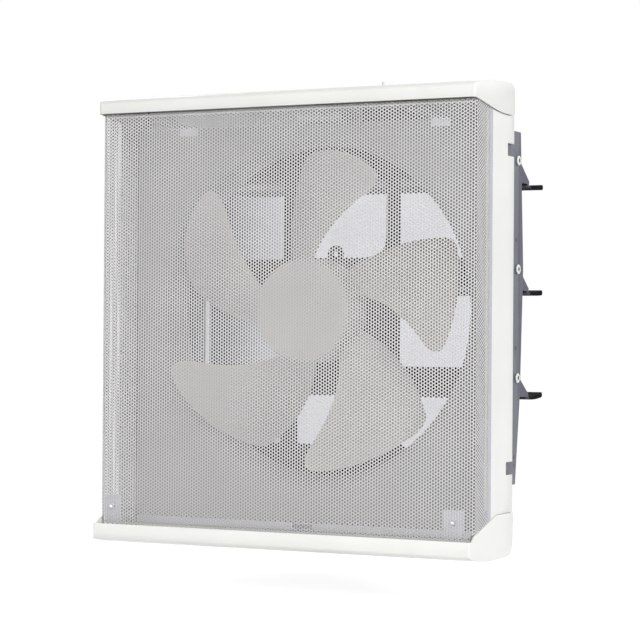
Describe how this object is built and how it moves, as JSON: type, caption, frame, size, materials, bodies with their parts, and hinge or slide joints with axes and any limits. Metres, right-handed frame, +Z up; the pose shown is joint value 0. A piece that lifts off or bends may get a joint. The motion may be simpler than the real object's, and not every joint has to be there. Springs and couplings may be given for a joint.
{
  "type": "window exhaust fan",
  "caption": "Square exhaust fan for a wall or window frame, with a hinged perforated filter, oil tray, swept propeller and linked louvre shutter.",
  "frame": {"origin": "fan axis where it meets the wall plane, the rear face of the mounting flange", "axes": "+X right as seen from the room, +Y outdoors through the wall along the fan axis, +Z up"},
  "size_m": [0.3218, 0.2052, 0.3569],
  "materials": {
    "white_paint": "satin",
    "filter_metal": "satin",
    "pan_paint": "satin",
    "duct_paint": "satin",
    "black_rubber": "matte",
    "fan_plastic": "satin",
    "white_plastic": "satin",
    "bright_steel": "brushed",
    "motor_paint": "satin",
    "winding_copper": "enamelled",
    "black_plastic": "matte"
  },
  "bodies": {
    "frame": {"top_cap": "white_paint", "cord_bushing": "white_plastic", "side_panel_right": "white_paint", "side_panel_left": "white_paint", "orifice_pan": "pan_paint", "drip_sill": "white_paint", "mounting_flange": "duct_paint", "filter_clip_left": "bright_steel", "filter_clip_right": "bright_steel", "wire_box": "black_plastic", "capacitor": "white_plastic", "shutter_frame": "duct_paint", "closing_strip": "duct_paint", "header_strip": "duct_paint", "pivot_bushing_right_1": "white_plastic", "pivot_bushing_right_2": "white_plastic", "pivot_bushing_right_3": "white_plastic", "pivot_bushing_left_1": "white_plastic", "pivot_bushing_left_2": "white_plastic", "pivot_bushing_left_3": "white_plastic", "shutter_actuator": "black_plastic", "motor_bracket": "duct_paint", "motor_front_shell": "motor_paint", "motor_rear_shell": "motor_paint", "stator_core": "bright_steel", "stator_winding": "winding_copper", "bearing_front": "bright_steel", "bearing_rear": "bright_steel", "bracket_screw_1": "bright_steel", "bracket_screw_2": "bright_steel", "bracket_screw_3": "bright_steel", "bracket_screw_4": "bright_steel"},
    "filter": {"filter_screen": "filter_metal", "corner_plate_right": "bright_steel", "corner_plate_left": "bright_steel", "corner_rivet_right": "bright_steel", "corner_rivet_left": "bright_steel"},
    "tray": {"oil_tray": "white_paint"},
    "rotor": {"propeller": "fan_plastic", "spinner": "fan_plastic", "motor_shaft": "bright_steel", "drive_pin": "bright_steel", "rotor_core": "bright_steel"},
    "louvre_a": {"louvre_1": "duct_paint", "louvre_lip_1": "black_rubber", "link_pin_1": "bright_steel"},
    "louvre_b": {"louvre_2": "duct_paint", "louvre_lip_2": "black_rubber", "link_pin_2": "bright_steel"},
    "louvre_c": {"louvre_3": "duct_paint", "louvre_lip_3": "black_rubber", "link_pin_3": "bright_steel"},
    "link": {"link_bar": "bright_steel"},
    "crank": {"actuator_crank": "black_plastic"}
  },
  "joints": [
    {"name": "fan_spin", "type": "hinge", "parent": "frame", "child": "rotor", "pos_m": [0, 0, 0], "axis": [0, 1, 0], "continuous": true},
    {"name": "louvre_a_hinge", "type": "hinge", "parent": "frame", "child": "louvre_a", "pos_m": [0, 0.0566, 0.1193], "axis": [1, 0, 0], "range_deg": [-90, 0]},
    {"name": "louvre_b_hinge", "type": "hinge", "parent": "frame", "child": "louvre_b", "pos_m": [0, 0.0566, 0.0338], "axis": [1, 0, 0], "range_deg": [-90, 0]},
    {"name": "louvre_c_hinge", "type": "hinge", "parent": "frame", "child": "louvre_c", "pos_m": [0, 0.0566, -0.0517], "axis": [1, 0, 0], "range_deg": [-90, 0]},
    {"name": "link_pivot", "type": "hinge", "parent": "louvre_a", "child": "link", "pos_m": [-0.133, 0.0467, 0.1094], "axis": [1, 0, 0], "range_deg": [0, 90]},
    {"name": "crank_turn", "type": "hinge", "parent": "frame", "child": "crank", "pos_m": [-0.131, 0.019, -0.1128], "axis": [1, 0, 0], "range_deg": [-90, 0]},
    {"name": "filter_tilt", "type": "hinge", "parent": "frame", "child": "filter", "pos_m": [0, -0.0754, -0.1645], "axis": [1, 0, 0], "range_deg": [0, 25]},
    {"name": "tray_drop", "type": "slide", "parent": "frame", "child": "tray", "axis": [0, 0, -1], "range_m": [0, 0.04]}
  ],
  "couplings": [
    {"joint": "louvre_b_hinge", "follows": "louvre_a_hinge", "ratio": 1},
    {"joint": "louvre_c_hinge", "follows": "louvre_a_hinge", "ratio": 1},
    {"joint": "link_pivot", "follows": "louvre_a_hinge", "ratio": -1},
    {"joint": "crank_turn", "follows": "louvre_a_hinge", "ratio": 1}
  ]
}
